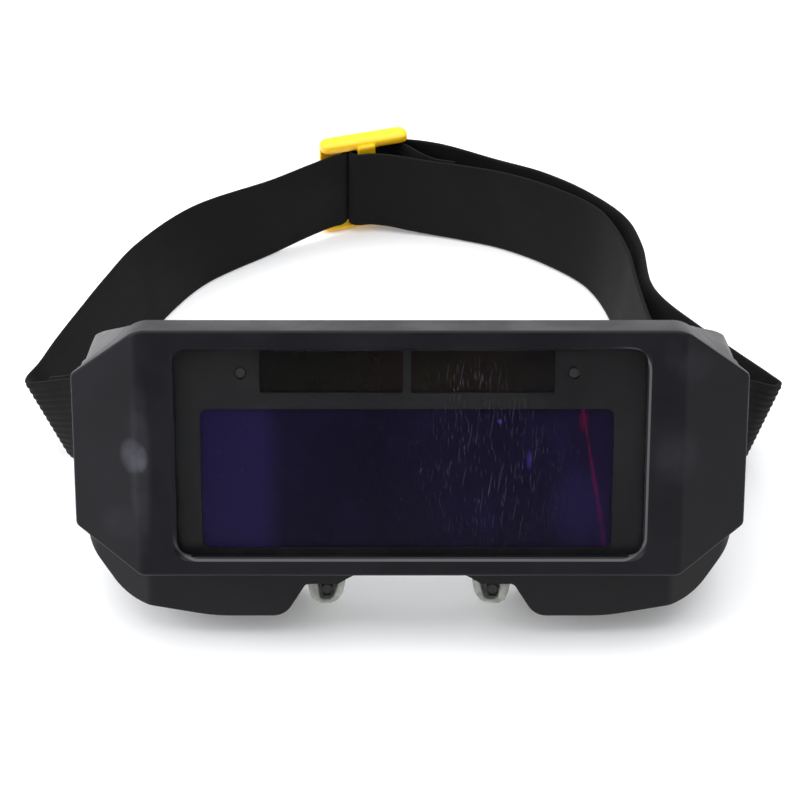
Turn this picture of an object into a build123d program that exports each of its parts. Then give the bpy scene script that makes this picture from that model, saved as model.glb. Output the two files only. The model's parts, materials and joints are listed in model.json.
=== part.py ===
"""Solar auto-darkening welding goggles, standing on a table as they are put down after use.

Millimetres, +Z up, the table at Z = 0, +Y towards the back of the head, +X to the right of someone
who looks at the face of the goggles. The eyewear leans back on its cheeks, so everything rigid is
drawn on the planes FACE, PLAN and SIDE, which lean with it; the strap is drawn in the room's own axes.
"""

import os
from math import cos, radians, sin

from build123d import *

os.makedirs("parts", exist_ok=True)

# ---------------------------------------------------------------------------- driving dimensions
LEAN = 22.0                  # how far the face leans back, degrees
FACE_X = 1.7                 # centre of the front face: the strap's loop is not symmetric
FACE_Y = -78.0
TO_MIDDLE = (-0.32, 0.74, 0)            # brings the middle of everything over the origin

FRAME_HALF_W = 77.6          # front frame, half width at its side edges
FRAME_HALF_H = 29.5
FRAME_DEPTH = 9.0
FLAT_HALF_W = 62.0           # half width of the flat middle, between the two upright creases
FACET_DEPTH = 8.0            # how far the side facets fall back from the flat
CORNER_TOP = 16.8            # height of the side edges' upper and lower ends
CORNER_BOTTOM = -19.7
FRONT_WALL = 2.2

WINDOW_W, WINDOW_H = 107.2, 50.0       # clear opening in the front wall
BEVEL = 0.8                            # the opening's sloping edge, seen from the front
BEVEL_DEPTH = 0.8
POCKET_W, POCKET_H = 108.4, 51.2       # pocket that takes the standard plates

PLATE_W, PLATE_H = 108.0, 50.8         # standard welding plate, 108 x 51 mm
WORKS_X = -0.7                         # the filter's works sit a little to the left in their case
COVER_T = 1.0
COVER_DEPTH = FRONT_WALL + 0.1
CASE_DEPTH = COVER_DEPTH + COVER_T + 0.1
CASE_T = 5.2
CASE_SKIN = 0.7
CASE_WALL = 0.9
VIEW_W, VIEW_H, VIEW_Z = 94.4, 33.9, -6.9   # viewing area of the filter and its height
GLASS_W, GLASS_H, GLASS_Z = 97.0, 35.4, -6.65
SOLAR_W, SOLAR_H = 32.6, 10.0
SOLAR_X, SOLAR_Z = 17.2, 18.85
SENSOR_X, SENSOR_Z = 37.8, 18.6
BOARD_W, BOARD_H, BOARD_T = 83.6, 11.0, 0.8
CELL_X, CELL_R, CELL_T = 47.4, 5.0, 2.5

SHROUD_DEPTH = 58.0          # rear end of the temple wings
WALL = 2.0
CHEEK_BOTTOM = -43.0         # lowest line of the cheeks
REST_DEPTH = 29.0            # the cheeks touch the table this far behind the face
EYE_W, EYE_H, EYE_Z = 98.0, 37.6, -5.5      # opening in the shroud's front wall
INNER_LENS_W, INNER_LENS_H = 103.6, 42.6
NOSE_HALF_W = 24.4           # the notch between the cheeks
LEDGE_Z = -35.0              # roof of the notch on both sides of the nose arch
SLOT_DEPTH = (46.4, 50.2)    # strap slot in each wing, front and rear side
SLOT_H, SLOT_Z = 27.0, -9.5
FIT = 0.3                    # gap between a nose pad and its post

PAD_X, PAD_Z = 19.6, -37.6   # pivot of a nose pad
PAD_HALF_W = 4.2
PAD_TOP, PAD_BOTTOM = -36.0, -42.35
PAD_DEPTH = (13.2, 20.8)
PAD_SKIN = 1.0
PIN_R = 0.6
PIN_PLAY = 0.05

STRAP_W, STRAP_T = 25.0, 1.1
SLIDER_X, SLIDER_Y, SLIDER_TURN = -11.1, 81.6, 16.0   # centre in the room, turn about Z in degrees
SLIDER_L, SLIDER_H, SLIDER_HALF_T = 25.0, 29.8, 2.8
RAIL_H = 2.0                 # height of the slider's lower and upper rails
BAR_W = 2.6
CENTRE_BAR_HALF = 2.5

FACE_Z = -CHEEK_BOTTOM * cos(radians(LEAN)) + REST_DEPTH * sin(radians(LEAN))

# ---------------------------------------------------------------------------- leaning planes
UP = (0, sin(radians(LEAN)), cos(radians(LEAN)))
BACK = (0, cos(radians(LEAN)), -sin(radians(LEAN)))
CENTRE = (FACE_X, FACE_Y, FACE_Z)
FACE = Plane(origin=CENTRE, x_dir=(1, 0, 0), z_dir=(0, -BACK[1], -BACK[2]))   # x, up, towards the viewer
PLAN = Plane(origin=CENTRE, x_dir=(1, 0, 0), z_dir=UP)                       # x, depth, up
SIDE = Plane(origin=CENTRE, x_dir=BACK, z_dir=(1, 0, 0))                     # depth, up, x
BOTH_SIDES = (-1, 1)


def behind(depth):
    """The plane parallel to the face, this far behind it."""
    return FACE.offset(-depth)


def finish(piece, name):
    """Label a finished piece, centre it over the origin with the rest and write it."""
    placed = piece.part.moved(Location(TO_MIDDLE))
    placed.label = name
    export_step(placed, f"parts/{name}.step")


def octagon(inset=0.0):
    """Right half of the frame's outline as corners (x, height, radius), drawn in by inset."""
    w, h, flat = FRAME_HALF_W - inset, FRAME_HALF_H - inset, FLAT_HALF_W - 0.4 * inset
    return [
        (flat, h, 7),
        (w, CORNER_TOP - 0.6 * inset, 1.6),
        (w, CORNER_BOTTOM + 0.6 * inset, 1.6),
        (flat, -h, 4),
    ]


def right_or_left(side, points):
    """The same outline on the right (1) or mirrored to the left (-1)."""
    return [(side * x, y) for x, y in points]


def closed_outline(corners, mirrored=False):
    """A closed line through corners (x, y, radius), with its mirror image when it is one half."""
    corners = list(corners)
    if mirrored:
        corners = corners + [(-x, y, radius) for x, y, radius in reversed(corners)]
    FilletPolyline([(x, y) for x, y, _ in corners], radius=[radius for _, _, radius in corners], close=True)


# ---------------------------------------------------------------------------- front frame
FACET_SLOPE = FACET_DEPTH / (FRAME_HALF_W - FLAT_HALF_W)
CREASE_R = 3.0
RIM_R = 0.7
HOOK_X = (55.7, 57.1)        # a snap hook's thickness
HOOK_DEPTH = (11.2, 13.2)    # its barb, behind the shroud's front wall
HOOK_W = 8.0
HOOK_Z = (-13.0, 12.0)
BARB = 1.0


with BuildPart() as front_frame:
    with BuildSketch(PLAN):
        with BuildLine():
            closed_outline(
                [(FLAT_HALF_W, 0, CREASE_R), (FRAME_HALF_W, FACET_DEPTH, 0), (FRAME_HALF_W, FRAME_DEPTH, 0)],
                mirrored=True,
            )
        make_face()
    extrude(amount=FRAME_HALF_H + 2, both=True)
    with BuildSketch(behind(FRAME_DEPTH)):
        with BuildLine():
            closed_outline(octagon(), mirrored=True)
        make_face()
    extrude(amount=FRAME_DEPTH + 2, mode=Mode.INTERSECT)
    rim = []
    for edge in front_frame.edges():
        place = FACE.to_local_coords(edge.center())
        on_outline = abs(place.X) > FRAME_HALF_W - 0.1 or abs(place.Y) > CORNER_TOP - 2
        runs_back = abs((edge @ 0 - edge @ 1).dot(Vector(*BACK))) > 0.7 * edge.length
        if place.Z > -FRAME_DEPTH + 0.05 and on_outline and not runs_back:
            rim.append(edge)
    fillet(rim, RIM_R)
    with BuildSketch(behind(FRONT_WALL)):
        RectangleRounded(POCKET_W, POCKET_H, 1.5)
    extrude(amount=-FRAME_DEPTH, mode=Mode.SUBTRACT)
    with BuildSketch(FACE):
        RectangleRounded(WINDOW_W, WINDOW_H, 3)
    extrude(amount=-FRAME_DEPTH, mode=Mode.SUBTRACT)
    with BuildSketch(FACE):
        RectangleRounded(WINDOW_W + 2 * BEVEL, WINDOW_H + 2 * BEVEL, 3 + BEVEL)
    with BuildSketch(behind(BEVEL_DEPTH)):
        RectangleRounded(WINDOW_W, WINDOW_H, 3)
    loft(mode=Mode.SUBTRACT)
    for side in BOTH_SIDES:
        # the chamber behind each side facet keeps the moulding's wall even
        with BuildSketch(PLAN):
            with BuildLine():
                Polyline(
                    right_or_left(
                        side,
                        [(57.1, 2.4), (61.8, 2.4), (72.5, 2.4 + 10.7 * FACET_SLOPE), (72.5, 10), (57.1, 10)],
                    ),
                    close=True,
                )
            make_face()
        extrude(amount=19, both=True, mode=Mode.SUBTRACT)
        for height in HOOK_Z:
            with BuildSketch(PLAN.offset(height)):
                with BuildLine():
                    Polyline(
                        right_or_left(
                            side,
                            [(HOOK_X[0], FRAME_DEPTH - 3), (HOOK_X[1], FRAME_DEPTH - 3), (HOOK_X[1], HOOK_DEPTH[0]),
                             (HOOK_X[1] + BARB, HOOK_DEPTH[0]), (HOOK_X[1], HOOK_DEPTH[1]),
                             (HOOK_X[0], HOOK_DEPTH[1])],
                        ),
                        close=True,
                    )
                make_face()
            extrude(amount=HOOK_W / 2, both=True)
finish(front_frame, "front_frame")

# ---------------------------------------------------------------------------- plates and filter


def plate(depth, width, height, thickness, x=WORKS_X, z=0.0, radius=0.8):
    """One flat plate of the stack, its front at this depth."""
    with BuildPart() as sheet:
        with BuildSketch(behind(depth)):
            with Locations((x, z)):
                RectangleRounded(width, height, radius)
        extrude(amount=-thickness)
    return sheet


finish(plate(COVER_DEPTH, PLATE_W, PLATE_H, COVER_T, x=0), "outer_cover_lens")

CASE_TRAY = CASE_T - CASE_SKIN
with BuildPart() as filter_case_front:
    with BuildSketch(behind(CASE_DEPTH)):
        RectangleRounded(PLATE_W, PLATE_H, 0.8)
    extrude(amount=-CASE_TRAY)
    with BuildSketch(behind(CASE_DEPTH + CASE_SKIN)):
        Rectangle(PLATE_W - 2 * CASE_WALL, PLATE_H - 2 * CASE_WALL)
    extrude(amount=-CASE_TRAY, mode=Mode.SUBTRACT)
    with BuildSketch(behind(CASE_DEPTH)):
        with Locations((WORKS_X, VIEW_Z)):
            RectangleRounded(VIEW_W, VIEW_H, 2)
        for side in BOTH_SIDES:
            with Locations((WORKS_X + side * SOLAR_X, SOLAR_Z)):
                RectangleRounded(SOLAR_W, SOLAR_H, 0.5)
            with Locations((WORKS_X + side * SENSOR_X, SENSOR_Z)):
                Circle(1.5)
    extrude(amount=-CASE_SKIN, mode=Mode.SUBTRACT)
finish(filter_case_front, "filter_case_front")

with BuildPart() as filter_case_back:
    with BuildSketch(behind(CASE_DEPTH + CASE_TRAY)):
        RectangleRounded(PLATE_W, PLATE_H, 0.8)
        with Locations((WORKS_X, VIEW_Z)):
            RectangleRounded(VIEW_W, VIEW_H, 2, mode=Mode.SUBTRACT)
    extrude(amount=-CASE_SKIN)
finish(filter_case_back, "filter_case_back")

STACK_GAP = 0.05
STACK = [
    ("uv_ir_filter_glass", 1.1),
    ("polariser_front", 0.2),
    ("lcd_cell_front", 0.8),
    ("polariser_middle", 0.2),
    ("lcd_cell_rear", 0.8),
    ("polariser_rear", 0.2),
]
layer_depth = CASE_DEPTH + CASE_SKIN + STACK_GAP
for layer, thickness in STACK:
    finish(plate(layer_depth, GLASS_W, GLASS_H, thickness, z=GLASS_Z, radius=0.5), layer)
    layer_depth += thickness + STACK_GAP

BEHIND_SKIN = CASE_DEPTH + CASE_SKIN + STACK_GAP
for side, word in ((-1, "left"), (1, "right")):
    finish(
        plate(BEHIND_SKIN, SOLAR_W + 0.8, SOLAR_H + 0.8, 0.7,
              x=WORKS_X + side * SOLAR_X, z=SOLAR_Z, radius=0.2),
        f"solar_cell_{word}",
    )

    with BuildPart() as arc_sensor:
        with BuildSketch(behind(BEHIND_SKIN)):
            with Locations((WORKS_X + side * SENSOR_X, SENSOR_Z)):
                Rectangle(3.6, 4.4)
        extrude(amount=-1.3)
        with BuildSketch(behind(BEHIND_SKIN)):
            with Locations((WORKS_X + side * SENSOR_X, SENSOR_Z)):
                Circle(1.25)
        extrude(amount=0.5)
        dome = arc_sensor.faces().sort_by(Axis((0, 0, 0), (0, -BACK[1], -BACK[2])))[-1]
        fillet(dome.edges(), 0.3)
    finish(arc_sensor, f"arc_sensor_{word}")

    with BuildPart() as backup_cell:
        with BuildSketch(behind(BEHIND_SKIN + 0.4)):
            with Locations((WORKS_X + side * CELL_X, SOLAR_Z - 0.5)):
                Circle(CELL_R)
        extrude(amount=-CELL_T)
        fillet(backup_cell.edges().filter_by(GeomType.CIRCLE), 0.3)
    finish(backup_cell, f"backup_cell_{word}")

BOARD_DEPTH = BEHIND_SKIN + 1.4
with BuildPart() as circuit_board:
    with BuildSketch(behind(BOARD_DEPTH)):
        with Locations((WORKS_X, SENSOR_Z)):
            RectangleRounded(BOARD_W, BOARD_H, 0.6)
            with GridLocations(BOARD_W - 5, 0, 2, 1):
                Circle(0.8, mode=Mode.SUBTRACT)
    extrude(amount=-BOARD_T)
finish(circuit_board, "circuit_board")

with BuildPart() as controller_chip:
    with BuildSketch(behind(BOARD_DEPTH + BOARD_T)):
        with Locations((WORKS_X, SENSOR_Z)):
            Rectangle(7, 6)
    extrude(amount=-0.9)
    chamfer(controller_chip.edges().filter_by(Axis((0, 0, 0), BACK)), 0.4)
finish(controller_chip, "controller_chip")

with BuildPart() as board_components:
    with BuildSketch(behind(BOARD_DEPTH + BOARD_T)):
        for side in BOTH_SIDES:
            with Locations((WORKS_X + side * 14, SENSOR_Z)):
                with GridLocations(7, 5, 3, 2):
                    Rectangle(2.6, 1.6)
            with Locations((WORKS_X + side * 31, SENSOR_Z)):
                Circle(2.2)
    extrude(amount=-0.8)
finish(board_components, "board_components")

with BuildPart() as lcd_flex_leads:
    glass_top = GLASS_Z + GLASS_H / 2
    board_bottom = SENSOR_Z - BOARD_H / 2
    with BuildSketch(behind(BOARD_DEPTH + 0.1)):
        for side in BOTH_SIDES:
            with Locations((WORKS_X + side * 30, (glass_top + board_bottom) / 2)):
                Rectangle(6, board_bottom - glass_top)
    extrude(amount=-0.15)
finish(lcd_flex_leads, "lcd_flex_leads")

SEAL_DEPTH = CASE_DEPTH + CASE_T
with BuildPart() as light_seal:
    with BuildSketch(behind(SEAL_DEPTH)):
        RectangleRounded(PLATE_W - 1, PLATE_H - 1, 1)
        with Locations((WORKS_X, EYE_Z)):
            RectangleRounded(EYE_W + 1, EYE_H - 1, 2, mode=Mode.SUBTRACT)
    extrude(amount=-(FRAME_DEPTH - SEAL_DEPTH))
finish(light_seal, "light_seal")

INNER_LENS_DEPTH = FRAME_DEPTH + 0.05
finish(
    plate(INNER_LENS_DEPTH, INNER_LENS_W, INNER_LENS_H, COVER_T, x=0, z=EYE_Z, radius=1.5),
    "inner_cover_lens",
)

# ---------------------------------------------------------------------------- eye shroud
CHEEK_OUTLINE = [
    # x, height and corner radius of the right half, from the top down to the nose
    (60.5, 28.8, 4),
    (76.4, 16.0, 6),
    (76.4, -27.0, 14),
    (66.5, -39.4, 14),
    (46.0, -43.0, 40),
    (29.4, CHEEK_BOTTOM, 5),
    (NOSE_HALF_W, LEDGE_Z, 1.6),
]
WING_TOP, WING_BOTTOM = 7.0, -27.5       # height of a wing at its rear end
HEAD_CENTRE = 86.0           # the head is an ellipse seen from above
HEAD_HALF_W, HEAD_HALF_D = 69.5, 62.0


def side_outline(past_end):
    """The side view, depth and height with corner radii; its rear end may run past the wings' end."""
    top_slope, low_slope = 0.54, 0.67
    return [
        (FRAME_DEPTH, 28.8, 0),
        (36.0, 18.9, 30),
        (SHROUD_DEPTH + past_end, WING_TOP - top_slope * past_end, 7),
        (SHROUD_DEPTH + past_end, WING_BOTTOM + low_slope * past_end, 7),
        (44.0, -36.9, 20),
        (REST_DEPTH, CHEEK_BOTTOM, 6),
        (FRAME_DEPTH, CHEEK_BOTTOM, 0),
    ]


def plan_outline(past_end):
    """Right half of the view from above, half width and depth with corner radii."""
    return [
        (61.0, FRAME_DEPTH, 4),
        (76.4, 17.0, 6),
        (76.2, 32.0, 30),
        (73.6, SHROUD_DEPTH + 1 + past_end, 0),
    ]


def shroud_block(inset):
    """The solid that the shroud's skin encloses; drawn in by inset, it is the cavity, open behind."""
    past_end = 6 * inset
    with BuildPart() as block:
        with BuildSketch(behind(FRAME_DEPTH + inset)):
            with BuildLine():
                closed_outline(CHEEK_OUTLINE, mirrored=True)
            make_face()
            if inset:
                offset(amount=-inset)
        extrude(amount=-(SHROUD_DEPTH + past_end))
        with BuildSketch(PLAN):
            with BuildLine():
                closed_outline(plan_outline(past_end), mirrored=True)
            make_face()
            if inset:
                offset(amount=-inset)
        extrude(amount=60, both=True, mode=Mode.INTERSECT)
        with BuildSketch(SIDE):
            with BuildLine():
                closed_outline(side_outline(past_end))
            make_face()
            if inset:
                offset(amount=-inset)
        extrude(amount=90, both=True, mode=Mode.INTERSECT)
    return block.part


def collar_block(inset):
    """The shallow box behind the frame that closes the step to the shroud's sloping sides."""
    with BuildPart() as block:
        with BuildSketch(behind(FRAME_DEPTH + inset)):
            with BuildLine():
                closed_outline(octagon(1.2 + inset), mirrored=True)
            make_face()
        extrude(amount=-(11 - inset))
        with BuildSketch(SIDE):
            with BuildLine():
                closed_outline(side_outline(0))
            make_face()
            if inset:
                offset(amount=-inset)
        extrude(amount=90, both=True, mode=Mode.INTERSECT)
    return block.part


def nose_arch(grow):
    """The tunnel for the bridge of the nose: low and narrow in front, high and wide behind."""
    with BuildPart() as arch:
        for depth, half, spring, crown in ((6, 16.4, -36, -31.6), (46, 22, -23, -7)):
            with BuildSketch(behind(depth)):
                with BuildLine():
                    w, low = half + grow, -70
                    Polyline((-w, spring), (-w, low), (w, low), (w, spring))
                    ThreePointArc((w, spring), (0, crown + grow), (-w, spring))
                make_face()
        loft()
    return arch.part


outer_body = shroud_block(0)
inner_body = shroud_block(WALL)
bridge = outer_body & nose_arch(WALL)
collar_outer = collar_block(0)
collar_inner = collar_block(WALL)
arch_tunnel = nose_arch(0)

with BuildPart() as eye_shroud:
    add(outer_body)
    add(collar_outer)
    add(inner_body, mode=Mode.SUBTRACT)
    add(collar_inner, mode=Mode.SUBTRACT)
    add(bridge)
    add(arch_tunnel, mode=Mode.SUBTRACT)
    # the rear edge follows the head
    with BuildSketch(PLAN):
        with Locations((0, HEAD_CENTRE)):
            Ellipse(HEAD_HALF_W, HEAD_HALF_D)
    extrude(amount=60, both=True, mode=Mode.SUBTRACT)
    # the eye opening with its rebate for the inner cover lens
    with BuildSketch(behind(FRAME_DEPTH)):
        with Locations((0, EYE_Z)):
            RectangleRounded(EYE_W, EYE_H, 2.5)
    extrude(amount=-5, mode=Mode.SUBTRACT)
    with BuildSketch(behind(FRAME_DEPTH)):
        with Locations((0, EYE_Z)):
            RectangleRounded(INNER_LENS_W + 0.3, INNER_LENS_H + 0.3, 1.5)
    extrude(amount=-(COVER_T + 0.1), mode=Mode.SUBTRACT)
    # slots for the frame's snap hooks
    with BuildSketch(behind(FRAME_DEPTH)):
        for side in BOTH_SIDES:
            for height in HOOK_Z:
                with Locations((side * (HOOK_X[0] + HOOK_X[1]) / 2, height)):
                    Rectangle(2.1, HOOK_W + 0.8)
    extrude(amount=-3, mode=Mode.SUBTRACT)
    # strap slots through the wings
    with BuildSketch(SIDE):
        with Locations(((SLOT_DEPTH[0] + SLOT_DEPTH[1]) / 2, SLOT_Z)):
            RectangleRounded(SLOT_DEPTH[1] - SLOT_DEPTH[0], SLOT_H, 1.5)
    extrude(amount=90, both=True, mode=Mode.SUBTRACT)
    # a tapered post for each nose pad, with the bore of its pin
    with BuildSketch(behind(PAD_DEPTH[0] + PAD_SKIN + FIT)):
        for side in BOTH_SIDES:
            with BuildLine():
                Polyline(
                    right_or_left(
                        side,
                        [(PAD_X - 2.0, LEDGE_Z + 1.2), (PAD_X + 2.0, LEDGE_Z + 1.2),
                         (PAD_X + 0.9, PAD_Z - 2.6), (PAD_X - 0.9, PAD_Z - 2.6)],
                    ),
                    close=True,
                )
            make_face()
            with Locations((side * PAD_X, PAD_Z)):
                Circle(PIN_R, mode=Mode.SUBTRACT)
    extrude(amount=-(PAD_DEPTH[1] - PAD_DEPTH[0] - 2 * (PAD_SKIN + FIT)))
finish(eye_shroud, "eye_shroud")

# ---------------------------------------------------------------------------- nose pads
POCKET_TOP_HALF, POCKET_LOW_HALF = 2.7, 1.6     # room for the post as the pad rocks

for side, word in ((-1, "left"), (1, "right")):
    with BuildPart() as nose_pad:
        with BuildSketch(behind(PAD_DEPTH[0])):
            with BuildLine():
                FilletPolyline(
                    right_or_left(
                        side,
                        [(PAD_X - PAD_HALF_W, PAD_TOP), (PAD_X + PAD_HALF_W, PAD_TOP),
                         (PAD_X + PAD_HALF_W, PAD_BOTTOM), (PAD_X - PAD_HALF_W + 1.6, PAD_BOTTOM),
                         (PAD_X - PAD_HALF_W, PAD_BOTTOM + 2.2)],
                    ),
                    radius=[0.6, 0.6, 1.6, 1.4, 1.4],
                    close=True,
                )
            make_face()
        extrude(amount=-(PAD_DEPTH[1] - PAD_DEPTH[0]))
        with BuildSketch(behind(PAD_DEPTH[0] + PAD_SKIN)):
            with BuildLine():
                Polyline(
                    right_or_left(
                        side,
                        [(PAD_X - POCKET_TOP_HALF, PAD_TOP + 1), (PAD_X + POCKET_TOP_HALF, PAD_TOP + 1),
                         (PAD_X + POCKET_LOW_HALF, PAD_Z - 3.1), (PAD_X - POCKET_LOW_HALF, PAD_Z - 3.1)],
                    ),
                    close=True,
                )
            make_face()
        extrude(amount=-(PAD_DEPTH[1] - PAD_DEPTH[0] - 2 * PAD_SKIN), mode=Mode.SUBTRACT)
        with BuildSketch(behind(PAD_DEPTH[0] - 1)):
            with Locations((side * PAD_X, PAD_Z)):
                Circle(PIN_R + PIN_PLAY)
        extrude(amount=-20, mode=Mode.SUBTRACT)
    finish(nose_pad, f"nose_pad_{word}")

    with BuildPart() as pad_pin:
        with BuildSketch(behind(PAD_DEPTH[0] - 0.1)):
            with Locations((side * PAD_X, PAD_Z)):
                Circle(PIN_R)
        extrude(amount=-(PAD_DEPTH[1] - PAD_DEPTH[0] + 0.4))
        with BuildSketch(behind(PAD_DEPTH[0] - 0.1)):
            with Locations((side * PAD_X, PAD_Z)):
                Circle(1.2)
        extrude(amount=0.5)
        head = pad_pin.faces().sort_by(Axis((0, 0, 0), (0, -BACK[1], -BACK[2])))[-1]
        fillet(head.edges(), 0.25)
    finish(pad_pin, f"nose_pad_pin_{word}")

# ---------------------------------------------------------------------------- strap slider
SLIDER = Plane(
    origin=(SLIDER_X, SLIDER_Y, 0),
    x_dir=(cos(radians(SLIDER_TURN)), sin(radians(SLIDER_TURN)), 0),
    z_dir=(0, 0, 1),
)   # x along the strap, y away from the head
CENTRE_BAR = (-3.6, -2.05)   # front and rear side of the centre bar, across the strap
OUTER_BAR = (0.85, SLIDER_HALF_T)

with BuildPart() as strap_slider:
    with BuildSketch(SLIDER):
        RectangleRounded(SLIDER_L, 2 * SLIDER_HALF_T, 1.6)
        with BuildLine():
            Polyline(
                (-CENTRE_BAR_HALF - 2, -SLIDER_HALF_T + 0.1), (-CENTRE_BAR_HALF, CENTRE_BAR[0]),
                (CENTRE_BAR_HALF, CENTRE_BAR[0]), (CENTRE_BAR_HALF + 2, -SLIDER_HALF_T + 0.1), close=True,
            )
        make_face()
    extrude(amount=SLIDER_H)
    ends = strap_slider.faces().filter_by(Axis.Z)
    fillet(ends.edges(), 0.8)
    with BuildSketch(SLIDER.offset(RAIL_H)):
        Rectangle(SLIDER_L + 2, 12)
        with Locations((0, (CENTRE_BAR[0] + CENTRE_BAR[1]) / 2)):
            Rectangle(2 * CENTRE_BAR_HALF, CENTRE_BAR[1] - CENTRE_BAR[0], mode=Mode.SUBTRACT)
        for side in BOTH_SIDES:
            with Locations((side * (SLIDER_L / 2 - BAR_W / 2), (OUTER_BAR[0] + OUTER_BAR[1]) / 2)):
                Rectangle(BAR_W, OUTER_BAR[1] - OUTER_BAR[0], mode=Mode.SUBTRACT)
    extrude(amount=SLIDER_H - 2 * RAIL_H, mode=Mode.SUBTRACT)
finish(strap_slider, "strap_slider")

# ---------------------------------------------------------------------------- head strap
# A station is (x, y, z, dx, dy): a point on the strap's middle line, and how far the upper edge
# stands out from the lower one, seen from above. One elastic band makes the whole way round:
# hem sewn round the left wing's bar, left run, through the slider, outer run, right slot,
# inner run, and a sewn loop round the slider's centre bar.
SLOT_MIDDLE = (SLOT_DEPTH[0] + SLOT_DEPTH[1]) / 2


def in_slider(along, across):
    """A station beside the slider, given in the slider's own directions."""
    point = SLIDER.from_local_coords(Vector(along, across, 0))
    return (point.X, point.Y, SLIDER_H / 2, 0, 0)


def at_wing(x, depth, lift=0.0):
    """A station in a wing's slot, where the strap stands square to the leaning goggles."""
    point = FACE.from_local_coords(Vector(x, SLOT_Z + lift, -depth))
    return (point.X, point.Y, point.Z, 0, STRAP_W * UP[1])


LEFT_HEM = [
    (-84.4, -22.0, 14.8, -7.8, 2.8),
    (-80.0, -25.4, 17.6, -5.2, 4.2),
    (-75.2, -27.2, 19.6, -2.0, 6.4),
    at_wing(-72.0, SLOT_MIDDLE + 11.6),
    at_wing(-69.6, SLOT_MIDDLE + 9.6),
    at_wing(-69.6, SLOT_MIDDLE + 4.6),
    at_wing(-69.8, SLOT_MIDDLE + 1.4),
    at_wing(-71.2, SLOT_MIDDLE - 0.3),
]
LEFT_RUN = [
    at_wing(-74.0, SLOT_MIDDLE - 0.4),
    (-75.5, -33.2, 22.0, -1.5, 7.0),
    (-81.0, -27.6, 18.0, -5.0, 4.5),
    (-86.3, -22.6, 14.4, -8.5, 2.6),
    (-88.3, -20.0, 13.0, -10.0, 1.6),
    (-88.7, -16.8, 12.3, -10.0, 1.2),
    (-87.6, -12.5, 12.2, -9.6, 1.6),
    (-84.6, -3.5, 12.2, -8.8, 2.6),
    (-80.2, 8.5, 12.2, -7.6, 3.2),
    (-74.8, 22.5, 12.2, -6.4, 3.6),
    (-68.6, 36.0, 12.3, -5.4, 3.8),
    (-56.0, 53.0, 12.5, -2.4, 2.6),
    (-35.5, 68.0, 12.6, -0.4, 0.6),
    (-25.5, 73.6, 14.4, 0, 0),
    (-19.6, 77.6, 14.9, 0, 0),
    in_slider(-5.0, 0.0),
]
OUTER_RUN = [
    in_slider(2.0, 0.0),
    in_slider(9.5, 0.0),
    (9.5, 83.0, 14.8, 0, 0.2),
    (25.6, 76.2, 12.6, 0.6, 1.0),
    (38.6, 69.6, 12.6, 1.0, 1.4),
    (50.0, 60.3, 12.6, 1.8, 1.6),
    (59.2, 48.8, 12.6, 2.2, 1.0),
    (62.6, 37.0, 12.6, 2.4, 0.2),
    (63.6, 20.5, 12.5, 3.0, 0.0),
    (66.2, 12.6, 12.4, 3.8, 2.2),
    (73.2, 3.0, 12.3, 4.8, 4.2),
    (82.4, -7.4, 12.3, 5.8, 4.8),
    (88.6, -15.0, 12.4, 6.6, 3.4),
    (90.6, -19.4, 12.8, 7.0, 1.4),
    (88.9, -22.2, 13.8, 6.6, 1.8),
    (84.4, -26.8, 17.0, 4.6, 4.0),
    (79.8, -32.2, 21.6, 1.6, 7.4),
    at_wing(77.4, SLOT_MIDDLE + 0.8),
]
INNER_RUN = [
    at_wing(74.0, SLOT_MIDDLE - 0.5),
    at_wing(71.0, SLOT_MIDDLE - 0.3, -0.3),
    at_wing(69.7, SLOT_MIDDLE + 1.6, -0.4),
    (70.6, -30.0, 21.6, 0.0, 8.4),
    (68.2, -20.0, 18.4, 0.4, 5.4),
    (65.2, -8.0, 14.2, 1.4, 2.4),
    (62.4, 6.5, 12.6, 2.4, 0.2),
    (60.0, 22.5, 12.5, 3.0, 0.0),
    (58.4, 35.6, 12.5, 3.0, 0.4),
    (52.4, 51.6, 12.5, 2.6, 2.4),
    (41.6, 61.6, 12.6, 1.6, 2.2),
    (28.4, 69.2, 12.6, 0.6, 1.4),
    (13.4, 74.6, 12.8, 0.1, 0.6),
    (5.8, 76.9, 13.4, 0, 0.2),
    in_slider(9.0, -4.6),
]
SEWN_LOOP = [
    in_slider(0.0, -4.5),
    in_slider(-2.6, -4.4),
    in_slider(-3.7, -3.7),
    in_slider(-4.0, -2.8),
    in_slider(-3.6, -1.9),
    in_slider(-2.4, -1.25),
    in_slider(0.0, -1.2),
    in_slider(9.0, -1.25),
    (4.2, 79.9, 14.6, 0, 0.2),
    (8.4, 77.8, 13.2, 0, 0.2),
    (13.8, 75.9, 12.8, 0.1, 0.6),
]
STRAP = {
    "strap_left_hem": LEFT_HEM,
    "strap_left_run": LEFT_RUN,
    "strap_outer_run": OUTER_RUN,
    "strap_inner_run": INNER_RUN,
    "strap_sewn_loop": SEWN_LOOP,
}
ROUTE = [station for stations in STRAP.values() for station in stations]


def station_plane(index):
    """The plane across the strap at a station: x through its thickness, y up its width."""
    points = [Vector(*station[:3]) for station in ROUTE[max(index - 1, 0):index + 2]]
    along = Vector(0, 0, 0)
    for start, end in zip(points, points[1:]):
        along += (end - start).normalized()
    width_way = Vector(ROUTE[index][3], ROUTE[index][4], STRAP_W).normalized()
    through = width_way.cross(along).normalized()
    return Plane(origin=ROUTE[index][:3], x_dir=through, z_dir=through.cross(width_way))


first = 0
for name, stations in STRAP.items():
    last = min(first + len(stations), len(ROUTE) - 1)    # each length ends where the next begins
    with BuildPart() as band:
        for index in range(first, last + 1):
            with BuildSketch(station_plane(index)):
                Rectangle(STRAP_T, STRAP_W)
        loft(ruled=True)
    finish(band, name)
    first = last
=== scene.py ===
"""Looks for the auto-darkening welding goggles: camera, light, materials and the ribbed elastic strap."""

import json
from math import cos, pi, radians, sin, tau

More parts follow.
